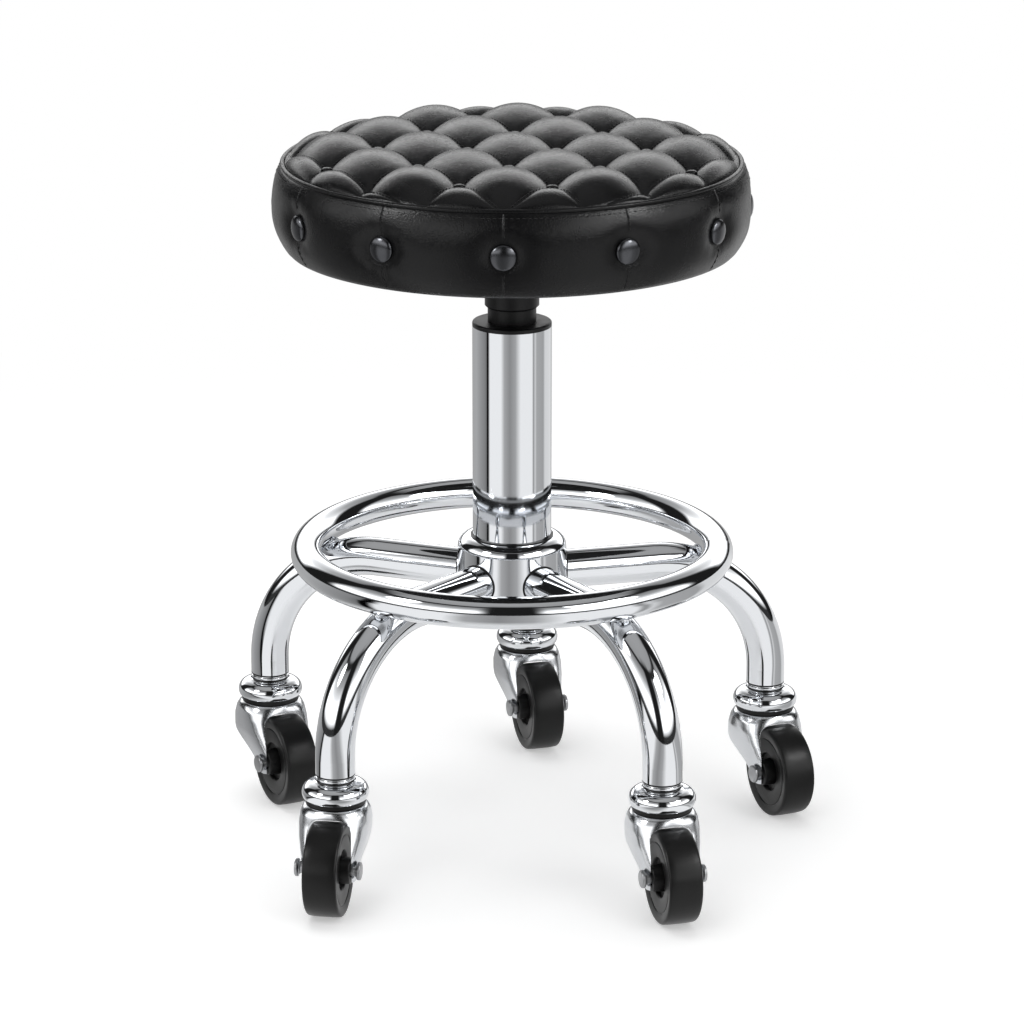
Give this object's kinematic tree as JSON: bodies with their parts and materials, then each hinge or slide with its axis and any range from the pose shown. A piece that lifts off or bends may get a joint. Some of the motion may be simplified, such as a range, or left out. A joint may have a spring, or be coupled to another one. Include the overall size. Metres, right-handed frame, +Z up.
{
  "type": "salon stool",
  "caption": "Round tufted stool seat on a chrome gas-lift column with bent tube legs, a foot ring and swivel casters.",
  "frame": {"origin": "on the floor, on the column's axis", "axes": "+Z up along the column; -Y is the front, between two legs; one leg points to +Y; +X is the right as seen from the front"},
  "size_m": [0.4514, 0.4547, 0.5298],
  "materials": {
    "chrome": "bright mirror chrome plate on steel",
    "steel": "zinc grey machined steel",
    "black_steel": "satin black powder coat",
    "black_plastic": "satin moulded black plastic",
    "black_rubber": "satin black rubber",
    "black_leather": "satin black upholstery leather, fine grain",
    "gunmetal": "satin gunmetal",
    "foam": "open cell upholstery foam",
    "dust_cloth": "black non-woven dust cloth",
    "plywood": "bare birch plywood"
  },
  "bodies": {
    "base": {"hub": "chrome", "leg_front_left": "chrome", "leg_front_right": "chrome", "leg_right": "chrome", "leg_rear": "chrome", "leg_left": "chrome", "foot_ring": "chrome", "ring_welds": "chrome", "column_tube": "chrome", "column_seal": "black_plastic", "guide_bush": "black_plastic", "column_foot": "steel", "thrust_bearing": "steel", "leg_plugs": "chrome", "caster_stems": "steel", "race_caps": "chrome", "race_seals": "black_plastic", "race_balls": "steel"},
    "lift_rod": {"piston_rod": "steel", "rod_collar": "steel", "rod_clip": "steel", "piston": "steel", "piston_ring": "black_rubber", "piston_nut": "steel"},
    "seat": {"gas_cylinder": "black_steel", "cylinder_gland": "black_plastic", "seat_socket": "black_steel", "seat_plate": "black_steel", "plate_screws": "steel", "tee_nuts": "steel", "dust_cover": "dust_cloth", "seat_board": "plywood", "foam_core": "foam", "side_band": "black_leather", "side_studs": "gunmetal", "welt": "black_leather", "tufted_top": "black_leather", "tuft_buttons": "black_leather", "lever_pin": "steel"},
    "lever": {"lever_arm": "steel", "lever_grip": "black_plastic"},
    "valve": {"valve_pin": "steel"},
    "caster_front_left": {"fork_front_left": "chrome", "axle_front_left": "steel"},
    "roller_front_left": {"wheel_front_left": "black_rubber"},
    "caster_front_right": {"fork_front_right": "chrome", "axle_front_right": "steel"},
    "roller_front_right": {"wheel_front_right": "black_rubber"},
    "caster_right": {"fork_right": "chrome", "axle_right": "steel"},
    "roller_right": {"wheel_right": "black_rubber"},
    "caster_rear": {"fork_rear": "chrome", "axle_rear": "steel"},
    "roller_rear": {"wheel_rear": "black_rubber"},
    "caster_left": {"fork_left": "chrome", "axle_left": "steel"},
    "roller_left": {"wheel_left": "black_rubber"}
  },
  "joints": [
    {"name": "seat_swivel", "type": "hinge", "parent": "base", "child": "lift_rod", "pos_m": [0, 0, 0.2], "axis": [0, 0, 1], "continuous": true},
    {"name": "seat_lift", "type": "slide", "parent": "lift_rod", "child": "seat", "axis": [0, 0, 1], "range_m": [0, 0.13]},
    {"name": "lift_lever", "type": "hinge", "parent": "seat", "child": "lever", "pos_m": [0, 0.028, 0.44], "axis": [1, 0, 0], "range_deg": [0, 6], "stiffness_Nm_per_rad": 2},
    {"name": "valve_press", "type": "slide", "parent": "seat", "child": "valve", "axis": [0, 0, -1], "range_m": [0, 0.003]},
    {"name": "swivel_front_left", "type": "hinge", "parent": "base", "child": "caster_front_left", "pos_m": [-0.11732, -0.16148, 0.0762], "axis": [0, 0, 1], "continuous": true},
    {"name": "roll_front_left", "type": "hinge", "parent": "caster_front_left", "child": "roller_front_left", "pos_m": [-0.12044, -0.1884, 0.0342], "axis": [0.9934, -0.1149, 0], "continuous": true},
    {"name": "swivel_front_right", "type": "hinge", "parent": "base", "child": "caster_front_right", "pos_m": [0.11732, -0.16148, 0.0762], "axis": [0, 0, 1], "continuous": true},
    {"name": "roll_front_right", "type": "hinge", "parent": "caster_front_right", "child": "roller_front_right", "pos_m": [0.12614, -0.1871, 0.0342], "axis": [0.9455, 0.3256, 0], "continuous": true},
    {"name": "swivel_right", "type": "hinge", "parent": "base", "child": "caster_right", "pos_m": [0.18983, 0.06168, 0.0762], "axis": [0, 0, 1], "continuous": true},
    {"name": "roll_right", "type": "hinge", "parent": "caster_right", "child": "roller_right", "pos_m": [0.2023, 0.03762, 0.0342], "axis": [0.8878, 0.4602, 0], "continuous": true},
    {"name": "swivel_rear", "type": "hinge", "parent": "base", "child": "caster_rear", "pos_m": [0, 0.1996, 0.0762], "axis": [0, 0, 1], "continuous": true},
    {"name": "roll_rear", "type": "hinge", "parent": "caster_rear", "child": "roller_rear", "pos_m": [0.00945, 0.1742, 0.0342], "axis": [0.9373, 0.3486, 0], "continuous": true},
    {"name": "swivel_left", "type": "hinge", "parent": "base", "child": "caster_left", "pos_m": [-0.18983, 0.06168, 0.0762], "axis": [0, 0, 1], "continuous": true},
    {"name": "roll_left", "type": "hinge", "parent": "caster_left", "child": "roller_left", "pos_m": [-0.17612, 0.03831, 0.0342], "axis": [0.8625, 0.506, 0], "continuous": true}
  ],
  "couplings": [
    {"joint": "valve_press", "follows": "lift_lever", "m_per_rad": 0.028}
  ]
}
